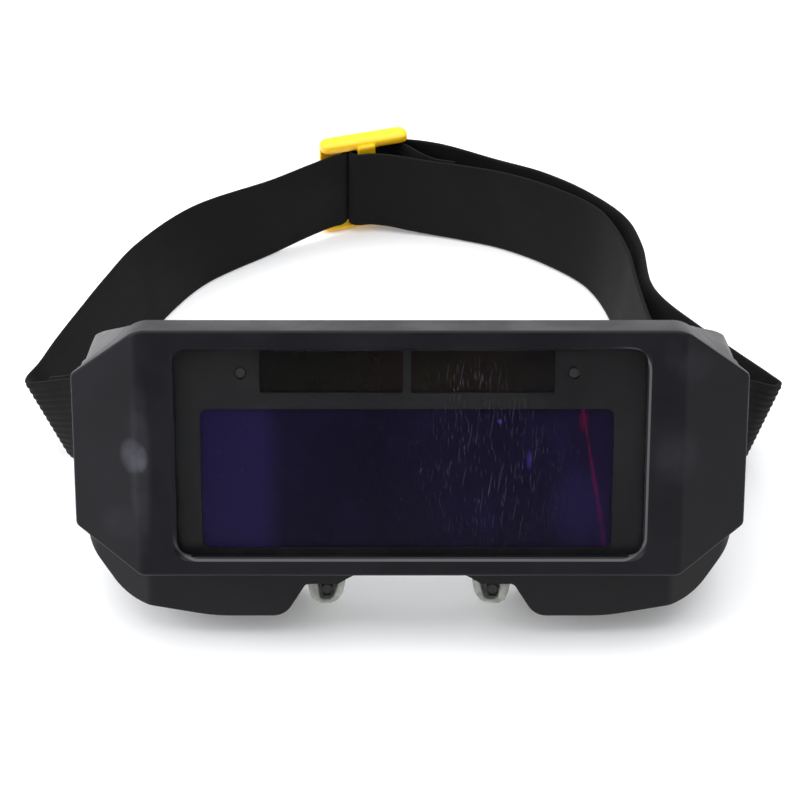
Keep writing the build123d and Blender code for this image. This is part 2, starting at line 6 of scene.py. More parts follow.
import bpy
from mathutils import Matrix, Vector


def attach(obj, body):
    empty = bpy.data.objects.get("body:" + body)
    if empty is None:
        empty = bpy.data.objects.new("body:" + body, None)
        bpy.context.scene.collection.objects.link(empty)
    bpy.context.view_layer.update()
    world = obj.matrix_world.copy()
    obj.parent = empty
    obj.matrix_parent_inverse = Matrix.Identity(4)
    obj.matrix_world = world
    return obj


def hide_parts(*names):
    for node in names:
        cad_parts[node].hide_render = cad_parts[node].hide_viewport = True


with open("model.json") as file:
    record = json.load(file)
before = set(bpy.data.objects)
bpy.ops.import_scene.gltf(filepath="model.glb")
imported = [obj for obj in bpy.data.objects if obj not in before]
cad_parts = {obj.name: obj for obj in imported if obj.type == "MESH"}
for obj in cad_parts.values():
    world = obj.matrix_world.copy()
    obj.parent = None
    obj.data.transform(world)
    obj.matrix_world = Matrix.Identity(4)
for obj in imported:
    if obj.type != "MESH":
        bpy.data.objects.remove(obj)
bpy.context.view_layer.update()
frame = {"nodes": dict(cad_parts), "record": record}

MM = 0.001
ROOT = "goggles"
LEAN = radians(22.0)
UP = Vector((0, sin(LEAN), cos(LEAN)))
BACK = Vector((0, cos(LEAN), -sin(LEAN)))
FACE_CENTRE = Vector((1.38, -77.26, 50.7325)) * MM


def on_face(x, height, depth=0.0):
    """A point given on the leaning face, in millimetres."""
    return FACE_CENTRE + Vector((x * MM, 0, 0)) + UP * height * MM + BACK * depth * MM


# ---------------------------------------------------------------- camera, floor and light
camera_data = bpy.data.cameras.new("camera")
camera_data.lens = 118.8
camera_data.sensor_width = 36
camera_data.clip_start = 0.01
camera_data.clip_end = 20
camera = bpy.data.objects.new("camera", camera_data)
camera.location = (-0.00092, -0.52886, 0.4462)
camera.rotation_euler = (radians(50), 0, 0)
bpy.context.collection.objects.link(camera)
scene = bpy.context.scene
scene.camera = camera
scene.view_settings.view_transform = "Standard"

world = bpy.data.worlds.new("studio")
world.use_nodes = True
sky = world.node_tree
direction = sky.nodes.new("ShaderNodeTexCoord")
overhead_share = sky.nodes.new("ShaderNodeVectorMath")
overhead_share.operation = "DOT_PRODUCT"
overhead_share.inputs[1].default_value = (-0.2, 0.44, 0.875)
sky.links.new(direction.outputs["Generated"], overhead_share.inputs[0])
brightness = sky.nodes.new("ShaderNodeMapRange")
brightness.interpolation_type = "SMOOTHSTEP"
for socket, number in (("From Min", -0.35), ("From Max", 0.85), ("To Min", 0.16), ("To Max", 1.12)):
    brightness.inputs[socket].default_value = number
sky.links.new(overhead_share.outputs["Value"], brightness.inputs["Value"])
sky.links.new(brightness.outputs["Result"], sky.nodes["Background"].inputs["Strength"])
sky.nodes["Background"].inputs["Color"].default_value = (0.97, 0.98, 1.0, 1)
scene.world = world


def area_light(name, location, target, size, power, colour=(1, 1, 1)):
    data = bpy.data.lights.new(name, "AREA")
    data.shape = "RECTANGLE"
    data.size, data.size_y = size
    data.energy = power
    data.color = colour
    light = bpy.data.objects.new(name, data)
    light.location = location
    light.rotation_euler = (Vector(target) - Vector(location)).to_track_quat("-Z", "Y").to_euler()
    bpy.context.collection.objects.link(light)


area_light("overhead", (0, 0.1, 1.3), (0, 0, 0), (1.9, 1.5), 17)
area_light("left_soft", (-1.2, -0.25, 0.75), (0, 0, 0.03), (0.7, 0.8), 9, (0.97, 0.98, 1.0))
area_light("right_soft", (1.2, 0.0, 0.8), (0, 0, 0.03), (0.7, 0.8), 0.3)


# ---------------------------------------------------------------- material building blocks
class Shader:
    """A material's node tree, with short calls for the nodes used here."""

    def __init__(self, name, **sockets):
        self.material = bpy.data.materials.new(name)
        self.material.use_nodes = True
        self.tree = self.material.node_tree
        self.principled = self.tree.nodes["Principled BSDF"]
        for key, value in sockets.items():
            self.principled.inputs[key.replace("_", " ")].default_value = value
        coordinates = self.tree.nodes.new("ShaderNodeTexCoord")
        self.position = coordinates.outputs["Object"]
        self.split = None

    def feed(self, socket, value):
        if isinstance(value, bpy.types.NodeSocket):
            self.tree.links.new(value, socket)
        else:
            socket.default_value = value

    def math(self, operation, first, second=0.0, clamp=False):
        node = self.tree.nodes.new("ShaderNodeMath")
        node.operation = operation
        node.use_clamp = clamp
        self.feed(node.inputs[0], first)
        self.feed(node.inputs[1], second)
        return node.outputs[0]

    def dot(self, direction, vector=None):
        node = self.tree.nodes.new("ShaderNodeVectorMath")
        node.operation = "DOT_PRODUCT"
        self.feed(node.inputs[0], vector or self.position)
        node.inputs[1].default_value = direction
        return node.outputs["Value"]

    def face_x(self):
        """Millimetres to the right of the face's middle."""
        return self.scaled((1, 0, 0))

    def face_height(self):
        return self.scaled(tuple(UP))

    def scaled(self, direction):
        centre = Vector(direction).dot(FACE_CENTRE)
        return self.math("MULTIPLY", self.math("SUBTRACT", self.dot(direction), centre), 1000.0)

    def stretch(self, x, y, z):
        """Object coordinates in millimetres, scaled along each axis."""
        node = self.tree.nodes.new("ShaderNodeMapping")
        self.feed(node.inputs["Vector"], self.position)
        node.inputs["Scale"].default_value = (1000 * x, 1000 * y, 1000 * z)
        return node.outputs[0]

    def combine(self, x, y, z=0.0):
        node = self.tree.nodes.new("ShaderNodeCombineXYZ")
        for socket, value in zip(node.inputs, (x, y, z)):
            self.feed(socket, value)
        return node.outputs[0]

    def noise(self, vector, scale=1.0, detail=3.0, roughness=0.5):
        node = self.tree.nodes.new("ShaderNodeTexNoise")
        self.feed(node.inputs["Vector"], vector)
        node.inputs["Scale"].default_value = scale
        node.inputs["Detail"].default_value = detail
        node.inputs["Roughness"].default_value = roughness
        return node.outputs[0]

    def cells(self, u, v, seed):
        """Random flat cells: distance across and along from each cell's own point, and a random number."""
        vector = self.combine(self.math("ADD", u, seed), v)
        node = self.tree.nodes.new("ShaderNodeTexVoronoi")
        node.voronoi_dimensions = "2D"
        self.feed(node.inputs["Vector"], vector)
        node.inputs["Scale"].default_value = 1.0
        across = self.math("ABSOLUTE", self.dot((1, 0, 0), self.subtract(vector, node.outputs["Position"])))
        along = self.math("ABSOLUTE", self.dot((0, 1, 0), self.subtract(vector, node.outputs["Position"])))
        return across, along, self.dot((1, 0, 0), node.outputs["Color"])

    def subtract(self, first, second):
        node = self.tree.nodes.new("ShaderNodeVectorMath")
        node.operation = "SUBTRACT"
        self.feed(node.inputs[0], first)
        self.feed(node.inputs[1], second)
        return node.outputs["Vector"]

    def below(self, value, limit):
        return self.math("LESS_THAN", value, limit)

    def product(self, *values):
        total = values[0]
        for value in values[1:]:
            total = self.math("MULTIPLY", total, value)
        return total

    def span(self, value, low, high, to_low=0.0, to_high=1.0):
        node = self.tree.nodes.new("ShaderNodeMapRange")
        node.interpolation_type = "SMOOTHSTEP"
        self.feed(node.inputs["Value"], value)
        for socket, number in zip(("From Min", "From Max", "To Min", "To Max"), (low, high, to_low, to_high)):
            node.inputs[socket].default_value = number
        return node.outputs["Result"]

    def ramp(self, value, stops):
        node = self.tree.nodes.new("ShaderNodeValToRGB")
        self.feed(node.inputs[0], value)
        elements = node.color_ramp.elements
        while len(elements) < len(stops):
            elements.new(0.5)
        for element, (place, colour) in zip(elements, stops):
            element.position = place
            element.color = (*colour, 1)
        return node.outputs[0]

    def mix(self, factor, first, second):
        node = self.tree.nodes.new("ShaderNodeMix")
        node.data_type = "RGBA"
        self.feed(node.inputs[0], factor)
        for socket, colour in zip((node.inputs[6], node.inputs[7]), (first, second)):
            self.feed(socket, (*colour, 1) if isinstance(colour, tuple) else colour)
        return node.outputs[2]

    def patch(self, x, height, half_w, half_h, softness=1.0):
        """A soft-edged spot on the face, 1 in its middle."""
        across = self.math("DIVIDE", self.math("SUBTRACT", self.face_x(), x), half_w)
        up = self.math("DIVIDE", self.math("SUBTRACT", self.face_height(), height), half_h)
        radius = self.math("ADD", self.math("MULTIPLY", across, across), self.math("MULTIPLY", up, up))
        return self.span(radius, 1.0, 1.0 - softness)

    def bump(self, height, distance_mm, strength=1.0):
        node = self.tree.nodes.new("ShaderNodeBump")
        node.inputs["Strength"].default_value = strength
        node.inputs["Distance"].default_value = distance_mm * MM
        self.feed(node.inputs["Height"], height)
        self.feed(self.principled.inputs["Normal"], node.outputs[0])

    def set(self, socket, value):
        self.feed(self.principled.inputs[socket], value)


def strongest(shader, masks):
    total = masks[0]
    for mask in masks[1:]:
        total = shader.math("MAXIMUM", total, mask)
    return total


def painted_lip_highlight(shader):
    """Painted highlight on the outer edge of the window's chamfer, along its bottom and right side, where the
    edge catches the light.
    """
    x = shader.face_x()
    height = shader.face_height()
    half_w, half_h, corner = 53.6, 25.0, 5.0
    squares = []
    for value, straight in ((x, half_w - corner), (height, half_h - corner)):
        past = shader.math("MAXIMUM", shader.math("SUBTRACT", shader.math("ABSOLUTE", value), straight), 0.0)
        squares.append(shader.math("MULTIPLY", past, past))
    outside = shader.math("SUBTRACT", shader.math("SQRT", shader.math("ADD", *squares)), corner)
    rim = shader.product(shader.span(outside, 0.28, 0.42), shader.span(outside, 0.95, 0.75))
    right_and_bottom = strongest(shader, [shader.span(x, 44.0, 54.0), shader.span(height, -18.0, -25.0)])
    return shader.product(rim, right_and_bottom)


# ---------------------------------------------------------------- plastics
def black_plastic(name, dark, light, smudges_and_highlight=(), specular=0.28):
    """Matt moulded plastic: fine spark-eroded grain and cloudy handling marks; on the frame also a few pale
    smudges, a painted highlight down its left crease, and a painted highlight on the window lip.
    """
    shader = Shader(name, IOR=1.46, Specular_IOR_Level=specular)
    cloud = shader.noise(shader.stretch(0.05, 0.05, 0.05), 1.0, 4.0, 0.6)
    fine = shader.noise(shader.stretch(2.6, 2.6, 2.6), 1.0, 2.0)
    colour = shader.mix(shader.span(cloud, 0.35, 0.7), dark, light)
    rough = shader.span(cloud, 0.3, 0.7, 0.36, 0.5)
    if smudges_and_highlight:
        marks = []
        for x, height, half_w, half_h, strength in smudges_and_highlight:
            spot = shader.patch(x, height, half_w, half_h)
            marks.append(shader.math("MULTIPLY", spot, strength))
        ragged = shader.span(shader.noise(shader.stretch(0.2, 0.2, 0.2), 1.0, 2.0), 0.3, 0.7, 0.6, 1.0)
        mask = shader.math("MULTIPLY", strongest(shader, marks), ragged, clamp=True)
        # the second colour is a painted highlight for the rim of the window lip
        pale_smudge_and_highlight, lip_highlight_colour = (0.095, 0.095, 0.115), (0.08, 0.08, 0.085)
        # the pale colour lightens the real smudges and the painted highlight down the left crease
        colour = shader.mix(mask, colour, pale_smudge_and_highlight)
        # painted highlight along the window lip's bottom and right edge
        colour = shader.mix(painted_lip_highlight(shader), colour, lip_highlight_colour)
    shader.set("Base Color", colour)
    shader.set("Roughness", rough)
    shader.bump(fine, 0.02, 0.35)
    return shader.material


# pale smudges on the frame, and one painted highlight down its left crease: x and height of the middle, half
# width, half height, strength
FRAME_SMUDGES_AND_HIGHLIGHT = [
    (-62.9, -0.3, 3.8, 5.2, 0.6),
    (-61.3, -0.8, 2.0, 4.2, 0.8),
    # a painted highlight down the left crease, not a smudge
    (-61.5, -3.0, 3.0, 26.0, 0.16),
    (60.5, -0.5, 6.5, 8.0, 0.11),
    (64.0, 21.0, 5.5, 5.0, 0.08),
    (59.0, 24.0, 2.6, 5.0, 0.06),
    (-66.0, -17.0, 7.0, 5.0, 0.06),
]
MATERIALS = {
    "black_plastic": black_plastic(
        "frame_plastic", (0.0045, 0.0045, 0.0068), (0.0072, 0.0072, 0.0098), FRAME_SMUDGES_AND_HIGHLIGHT, 0.2),
    "shroud_plastic": black_plastic("shroud_plastic", (0.0055, 0.0053, 0.0068), (0.0085, 0.0082, 0.010)),
    "case_plastic": black_plastic("case_plastic", (0.0065, 0.0068, 0.0072), (0.0095, 0.0098, 0.0102)),
}


def yellow_plastic():
    shader = Shader("slider_plastic", Roughness=0.3, IOR=1.49)
    flow = shader.noise(shader.stretch(0.12, 0.12, 0.12), 1.0, 3.0)
    shader.set("Base Color", shader.mix(flow, (0.98, 0.53, 0.0), (1.0, 0.62, 0.005)))
    shader.principled.inputs["Subsurface Weight"].default_value = 0.15
    shader.principled.inputs["Subsurface Radius"].default_value = (0.004, 0.002, 0.0005)
    shader.principled.inputs["Subsurface Scale"].default_value = 1.0
    shader.bump(shader.noise(shader.stretch(0.5, 0.5, 0.5), 1.0, 3.0), 0.05, 0.3)
    return shader.material


MATERIALS["yellow_plastic"] = yellow_plastic()


# ---------------------------------------------------------------- filter, cells and plates
def viewing_glass():
    """The liquid crystal window: blue-violet, nearly black in the middle, with one failed red line."""
    shader = Shader("viewing_glass", Roughness=0.16, IOR=1.5, Specular_IOR_Level=0.12)
    x = shader.face_x()
    height = shader.face_height()
    wave = shader.noise(shader.stretch(0.035, 0.035, 0.035), 1.0, 3.0, 0.6)
    place = shader.math("DIVIDE", shader.math("ADD", x, 48.0), 94.0)
    place = shader.math("ADD", place, shader.math("MULTIPLY", shader.math("SUBTRACT", wave, 0.5), 0.04))
    tint = shader.ramp(place, [
        (0.0, (0.0120, 0.0075, 0.044)),
        (0.15, (0.0130, 0.0080, 0.047)),
        (0.2, (0.0050, 0.0036, 0.0165)),
        (0.42, (0.0038, 0.0028, 0.0120)),
        (0.6, (0.0060, 0.0040, 0.0180)),
        (0.78, (0.0050, 0.0034, 0.0160)),
        (0.97, (0.0075, 0.0042, 0.0225)),
    ])
    cloud = shader.span(shader.noise(shader.stretch(0.09, 0.05, 0.05), 1.0, 4.0, 0.65), 0.48, 0.72)
    tint = shader.mix(shader.math("MULTIPLY", cloud, 0.4), tint, (0.011, 0.007, 0.042))
    spots = strongest(shader, [
        shader.patch(20.4, 6.9, 0.75, 0.75),
        shader.math("MULTIPLY", shader.patch(27.3, -2.4, 0.7, 3.0), 0.7),
        shader.math("MULTIPLY", shader.patch(38.5, -14.0, 8.0, 12.0), 0.14),
    ])
    tint = shader.mix(spots, tint, (0.035, 0.025, 0.16))
    # the red line leans from the top of the window to its lower right
    line_x, line_height, line_lean = 39.7, 8.0, 0.172
    drift = shader.math("MULTIPLY", shader.math("SUBTRACT", height, line_height), line_lean)
    away = shader.math("ABSOLUTE", shader.math("ADD", shader.math("SUBTRACT", x, line_x), drift))
    width = shader.span(height, -24.0, 9.0, 0.9, 0.35)
    line = shader.math("SUBTRACT", 1.0, shader.math("DIVIDE", away, width), clamp=True)
    patchy = shader.span(shader.noise(shader.stretch(0.1, 0.35, 0.35), 1.0, 3.0), 0.3, 0.7, 0.25, 1.0)
    glow = shader.patch(39.6, 7.0, 1.5, 3.4)
    red = shader.math("MAXIMUM", shader.math("MULTIPLY", line, patchy), shader.math("MULTIPLY", glow, 0.3))
    glare = shader.mix(shader.span(height, -22.0, 6.0), (0.055, 0.005, 0.07), (0.13, 0.003, 0.03))
    shader.set("Base Color", shader.mix(red, tint, glare))
    return shader.material


def solar_cell():
    """Dark amorphous cells with a fine speckle, olive at one end and brown at the other."""
    shader = Shader("solar_cell", Roughness=0.22, IOR=1.5, Specular_IOR_Level=0.15)
    place = shader.math("DIVIDE", shader.math("ADD", shader.face_x(), 34.0), 68.0)
    tint = shader.ramp(place, [
        (0.0, (0.0030, 0.0032, 0.0020)),
        (0.28, (0.0042, 0.0034, 0.0022)),
        (0.46, (0.0075, 0.0032, 0.0026)),
        (0.54, (0.0070, 0.0056, 0.0028)),
        (0.75, (0.0085, 0.0048, 0.0036)),
        (1.0, (0.0050, 0.0048, 0.0052)),
    ])
    grain = shader.noise(shader.stretch(0.25, 0.25, 0.25), 1.0, 3.0)
    speckle = shader.span(grain, 0.45, 0.75, 0.0, 0.35)
    shader.set("Base Color", shader.mix(speckle, tint, (0.011, 0.008, 0.006)))
    return shader.material


def cover_plate():
    """Clear polycarbonate with fine near-vertical scratches and dust."""
    shader = Shader("clear_plate", Roughness=0.06, IOR=1.5, Specular_IOR_Level=0.3)
    x = shader.face_x()
    height = shader.face_height()
    middle_patch, upper_patch = shader.patch(19.0, -4.0, 24.0, 27.0), shader.patch(13.0, 15.0, 15.0, 11.0)
    worn = shader.math("MAXIMUM", middle_patch, upper_patch)
    worn = shader.math("ADD", worn, 0.06)
    masks = []
    # cells per millimetre across and along, lean, share of cells scratched,
    # half width and half length in cells, strength
    for seed, (across, along, lean, share, half_w, half_l, strength) in enumerate((
        (0.60, 0.18, 0.12, 0.23, 0.030, 0.32, 0.32),
        (1.10, 0.36, 0.03, 0.23, 0.055, 0.28, 0.32),
        (0.90, 0.55, -0.10, 0.24, 0.055, 0.26, 0.28),
        (0.45, 0.13, 0.17, 0.16, 0.022, 0.36, 0.34),
    )):
        sideways = shader.math("MULTIPLY", height, lean * across)
        u = shader.math("SUBTRACT", shader.math("MULTIPLY", x, across), sideways)
        v = shader.math("MULTIPLY", height, along)
        away, length, chance = shader.cells(u, v, 17.3 * (seed + 1))
        inside = shader.product(shader.below(away, half_w), shader.below(length, half_l))
        masks.append(shader.product(inside, shader.below(chance, share), strength, worn))
    dust = []
    for seed, (density, share, radius) in enumerate(((0.22, 0.30, 0.035), (0.5, 0.14, 0.05))):
        u = shader.math("MULTIPLY", x, density)
        v = shader.math("MULTIPLY", height, density)
        away, length, chance = shader.cells(u, v, 91.7 * (seed + 1))
        squares = shader.math("MULTIPLY", away, away), shader.math("MULTIPLY", length, length)
        speck = shader.below(shader.math("ADD", *squares), radius * radius)
        dust.append(shader.product(speck, shader.below(chance, share), 0.32))
    mask = strongest(shader, masks + dust)
    shader.set("Base Color", shader.mix(mask, (0.012, 0.012, 0.014), (0.31, 0.29, 0.43)))
    shader.set("Alpha", shader.math("ADD", shader.math("MULTIPLY", mask, 0.55), 0.07, clamp=True))
    return shader.material


def plain(name, colour, second, scale_mm, **sockets):
    """A finish with a slow change of colour over a fine texture."""
    shader = Shader(name, **sockets)
    step = 1.0 / scale_mm
    field = shader.noise(shader.stretch(step, step, step), 1.0, 4.0)
    shader.set("Base Color", shader.mix(field, colour, second))
    shader.bump(shader.noise(shader.stretch(4 * step, 4 * step, 4 * step), 1.0, 2.0), 0.015, 0.4)
    return shader.material


def pad_silicone():
    """Clear soft silicone, greenish where it is thick."""
    shader = Shader("pad_silicone", Roughness=0.24, IOR=1.42, Alpha=0.82)
    thick = shader.noise(shader.stretch(0.5, 0.5, 0.5), 1.0, 2.0)
    greenish, clear = (0.34, 0.36, 0.32), (0.56, 0.57, 0.52)
    shader.set("Base Color", shader.mix(shader.span(thick, 0.3, 0.7), greenish, clear))
    return shader.material


MATERIALS.update({
    "clear_plate": cover_plate(),
    "filter_glass": viewing_glass(),
    "solar_cell": solar_cell(),
    "pad_silicone": pad_silicone(),
    "polariser_film": plain("polariser_film", (0.02, 0.015, 0.04), (0.03, 0.02, 0.05), 9.0, Roughness=0.2),
    "lcd_glass": plain("lcd_glass", (0.03, 0.028, 0.06), (0.045, 0.04, 0.08), 12.0, Roughness=0.08),
    "sensor": plain("sensor", (0.008, 0.008, 0.008), (0.035, 0.034, 0.028), 0.5, Roughness=0.4),
    "board": plain("board", (0.008, 0.07, 0.03), (0.012, 0.1, 0.04), 3.0, Roughness=0.4),
    "chip": plain("chip", (0.012, 0.012, 0.012), (0.02, 0.02, 0.02), 1.0, Roughness=0.5),
    "smd_parts": plain("smd_parts", (0.3, 0.22, 0.14), (0.45, 0.36, 0.26), 1.0, Roughness=0.35),
    "flex_film": plain("flex_film", (0.5, 0.22, 0.04), (0.62, 0.3, 0.06), 1.5, Roughness=0.3),
    "cell_steel": plain("cell_steel", (0.6, 0.6, 0.6), (0.72, 0.72, 0.71), 1.2, Roughness=0.3, Metallic=1.0),
    "seal_rubber": plain("seal_rubber", (0.012, 0.012, 0.012), (0.02, 0.02, 0.02), 0.8, Roughness=0.8),
    "pin_steel": plain("pin_steel", (0.006, 0.006, 0.006), (0.012, 0.012, 0.012), 0.5, Roughness=0.5),
})
for entry in frame["record"]["subparts"]:
    material = MATERIALS.get(entry["material_slot"])
    if material:
        node = frame["nodes"][entry["node"]]
        node.data.materials.clear()
        node.data.materials.append(material)
        node["shade"] = entry["material_slot"]


# ---------------------------------------------------------------- the elastic strap
BAND_W, BAND_T = 25.0, 1.1
SLIDER_CENTRE = Vector((-11.42, 82.34, 0))
SLIDER_TURN = radians(16)
SLIDER_LEAN = 0.045
SLOT_DEPTH, SLOT_HEIGHT = 48.3, -9.5
# the stations are given about a point this far from the origin
MIDDLE_X, MIDDLE_Y = -0.32, 0.74
TO_MIDDLE = Vector((MIDDLE_X, MIDDLE_Y, 0))


def in_slider(along, across, z=14.9):
    """A station in the slider, which leans forward a little with the band."""
    forward = across - SLIDER_LEAN * z
    x = SLIDER_CENTRE.x + along * cos(SLIDER_TURN) - forward * sin(SLIDER_TURN)
    y = SLIDER_CENTRE.y + along * sin(SLIDER_TURN) + forward * cos(SLIDER_TURN)
    out = SLIDER_LEAN * BAND_W
    return (x - MIDDLE_X, y - MIDDLE_Y, z, out * sin(SLIDER_TURN), -out * cos(SLIDER_TURN))


def at_wing(x, behind_slot, lift=0.0):
    """A station at one of the shroud's two slots, where the band lies along the leaning face."""
    point = on_face(x, SLOT_HEIGHT + lift, SLOT_DEPTH + behind_slot) / MM
    return (point.x - MIDDLE_X, point.y - MIDDLE_Y, point.z, 0, BAND_W * UP.y)


# x, y, z of the band's middle, and how far its upper edge stands out from the lower one in x and y
RIGHT_TURN = at_wing(74.0, -0.5)
ROUTE = [
    (-84.4, -22.0, 14.8, -7.8, 2.8),
    (-80.0, -25.4, 17.6, -5.2, 4.2),
    (-75.2, -27.2, 19.6, -2.0, 6.4),
    at_wing(-72.0, 11.6),
    at_wing(-69.6, 9.6),
    at_wing(-69.6, 4.6),
    at_wing(-69.8, 1.4),
    at_wing(-71.2, -0.3),
    at_wing(-74.0, -0.4),
    (-75.5, -33.2, 22.0, -1.5, 7.0),
    (-81.0, -27.6, 18.0, -5.0, 4.5),
    (-86.9, -23.2, 14.4, -8.7, 2.6),
    (-89.4, -21.0, 13.1, -10.2, 1.6),
    (-89.7, -17.6, 12.4, -10.2, 1.2),
    (-87.6, -12.5, 12.2, -9.6, 1.6),
    (-84.6, -3.5, 12.2, -8.8, 2.6),
    (-80.2, 8.5, 12.2, -7.6, 3.2),
    (-74.8, 22.5, 12.2, -6.4, 3.6),
    (-68.6, 36.0, 12.3, -5.4, 3.8),
    (-56.0, 53.0, 12.5, -2.4, 2.6),
    (-35.5, 67.0, 12.6, -0.2, -0.2),
    (-25.8, 72.0, 14.2, 0.2, -1.0),
    in_slider(-9.4, -3.0),
    in_slider(-7.2, -2.8),
    in_slider(-5.9, -1.9),
    in_slider(-4.9, -0.7),
    in_slider(-3.2, -0.05),
    in_slider(2.0, 0.0),
    in_slider(9.5, 0.0),
    (9.5, 81.9, 14.6, 0.1, -0.6),
    (25.6, 76.2, 12.6, 0.6, 1.0),
    (38.6, 69.6, 12.6, 1.0, 1.4),
    (50.0, 60.3, 12.6, 1.8, 1.6),
    (59.2, 48.8, 12.6, 2.2, 1.0),
    (62.6, 37.0, 12.6, 2.4, 0.2),
    (63.6, 20.5, 12.5, 3.0, 0.0),
    (66.2, 12.6, 12.4, 3.8, 2.2),
    (73.2, 2.4, 12.3, 4.8, 2.8),
    (82.4, -9.2, 12.3, 6.0, 2.2),
    (88.8, -17.0, 12.4, 7.0, 1.4),
    (91.2, -20.8, 12.8, 7.6, 0.6),
    (89.4, -23.6, 13.8, 7.0, 1.4),
    (84.4, -26.8, 17.0, 4.6, 4.0),
    (79.8, -32.2, 21.6, 1.6, 7.4),
    at_wing(77.4, 0.8),
    RIGHT_TURN,
    at_wing(71.0, -0.3, -0.3),
    at_wing(69.7, 1.6, -0.4),
    (70.6, -30.0, 21.6, 0.0, 8.4),
    (68.2, -20.0, 18.4, 0.4, 5.4),
    (65.2, -8.0, 14.2, 1.4, 2.4),
    (62.4, 6.5, 12.6, 2.4, 0.2),
    (60.0, 22.5, 12.5, 3.0, 0.0),
    (58.4, 35.6, 12.5, 3.0, 0.4),
    (52.4, 51.6, 12.5, 2.6, 2.4),
    (41.6, 61.6, 12.6, 1.6, 2.2),
    (28.4, 69.2, 12.6, 0.6, 1.4),
    (17.0, 72.9, 12.7, 0.2, 0.8),
    (8.0, 74.9, 13.0, 0.1, 0.2),
    (1.7, 75.8, 13.7, 0, 0),
    (-4.0, 76.4, 14.5, 0.1, -0.6),
    in_slider(0.4, -4.8),
    in_slider(-2.2, -4.5),
    in_slider(-3.9, -3.7),
    in_slider(-4.5, -2.8),
    in_slider(-4.0, -1.8),
    in_slider(-2.6, -1.25),
    in_slider(0.0, -1.2),
    in_slider(9.4, -1.35),
    (5.2, 77.3, 14.3, 0.1, -0.4),
    (8.8, 76.0, 13.2, 0, 0.2),
    (14.6, 74.7, 12.8, 0.1, 0.6),
]


def smooth_route(stations, spacing):
    """Evenly spaced (middle, width direction, sideways direction) along a smooth line through stations."""
    rows = [Vector(s[:3]) + TO_MIDDLE for s in stations]
    leans = [Vector((s[3], s[4], BAND_W)) for s in stations]
    knots = [0.0]
    for a, b in zip(rows, rows[1:]):
        knots.append(knots[-1] + (b - a).length ** 0.5)

    def tangent(values, i):
        low, high = max(i - 1, 0), min(i + 1, len(values) - 1)
        if low == i or high == i:
            return (values[high] - values[low]) / (knots[high] - knots[low])
        before = (values[i] - values[low]) / (knots[i] - knots[low])
        after = (values[high] - values[i]) / (knots[high] - knots[i])
        share = (knots[i] - knots[low]) / (knots[high] - knots[low])
        return before * (1 - share) + after * share

    def hermite(values, i, t):
        step = knots[i + 1] - knots[i]
        t2, t3 = t * t, t * t * t
        return (
            values[i] * (2 * t3 - 3 * t2 + 1) + tangent(values, i) * step * (t3 - 2 * t2 + t)
            + values[i + 1] * (3 * t2 - 2 * t3) + tangent(values, i + 1) * step * (t3 - t2)
        )

    per_station = 24
    dense = []
    for i in range(len(rows) - 1):
        for k in range(per_station):
            t = k / per_station
            dense.append((hermite(rows, i, t), hermite(leans, i, t)))
    dense.append((rows[-1], leans[-1]))
    lengths = [0.0]
    for (a, _), (b, _) in zip(dense, dense[1:]):
        lengths.append(lengths[-1] + (b - a).length)
    count = round(lengths[-1] / spacing)
    points = []
    j = 0
    for k in range(count + 1):
        want = lengths[-1] * k / count
        while j < len(dense) - 2 and lengths[j + 1] < want:
            j += 1
        share = (want - lengths[j]) / max(lengths[j + 1] - lengths[j], 1e-9)
        middle = dense[j][0].lerp(dense[j + 1][0], share)
        lean = dense[j][1].lerp(dense[j + 1][1], share).normalized()
        points.append((middle, lean))
    frames = []
    for k, (middle, lean) in enumerate(points):
        along = points[min(k + 1, count)][0] - points[max(k - 1, 0)][0]
        through = lean.cross(along).normalized()
        frames.append((middle, lean, through))
    return frames, lengths[-1]


RIBS = 13
COARSE_DEPTH, FINE_DEPTH = 0.26, 0.05


def band_section(coarse_outside):
    """The band's section as (through, up) in millimetres.

    One face has coarse ribs and the other fine ones; coarse_outside is 1 with the coarse ones outside.
    """
    half_t, half_w = BAND_T / 2, BAND_W / 2
    steps = RIBS * 6
    outer = []
    inner = []
    for k in range(steps + 1):
        share = k / steps
        height = -half_w + 0.5 + (BAND_W - 1.0) * share
        coarse = (0.5 + 0.5 * cos(tau * RIBS * share)) * COARSE_DEPTH
        fine = (0.5 + 0.5 * cos(tau * RIBS * 2 * share)) * FINE_DEPTH
        outer.append((half_t - coarse * coarse_outside - fine * (1 - coarse_outside), height))
        inner.append((-half_t + fine * coarse_outside + coarse * (1 - coarse_outside), height))
    rounded_top = [(0.3, half_w - 0.12), (0.0, half_w), (-0.32, half_w - 0.12)]
    rounded_low = [(-0.32, -half_w + 0.12), (0.0, -half_w), (0.3, -half_w + 0.12)]
    return outer + rounded_top + inner[::-1] + rounded_low


def mesh_object(name, vertices, faces, material, smooth=True):
    mesh = bpy.data.meshes.new(name)
    mesh.from_pydata(vertices, [], faces)
    mesh.polygons.foreach_set("use_smooth", [smooth] * len(mesh.polygons))
    mesh.materials.append(material)
    mesh.update()
    piece = bpy.data.objects.new(name, mesh)
    bpy.context.collection.objects.link(piece)
    return piece


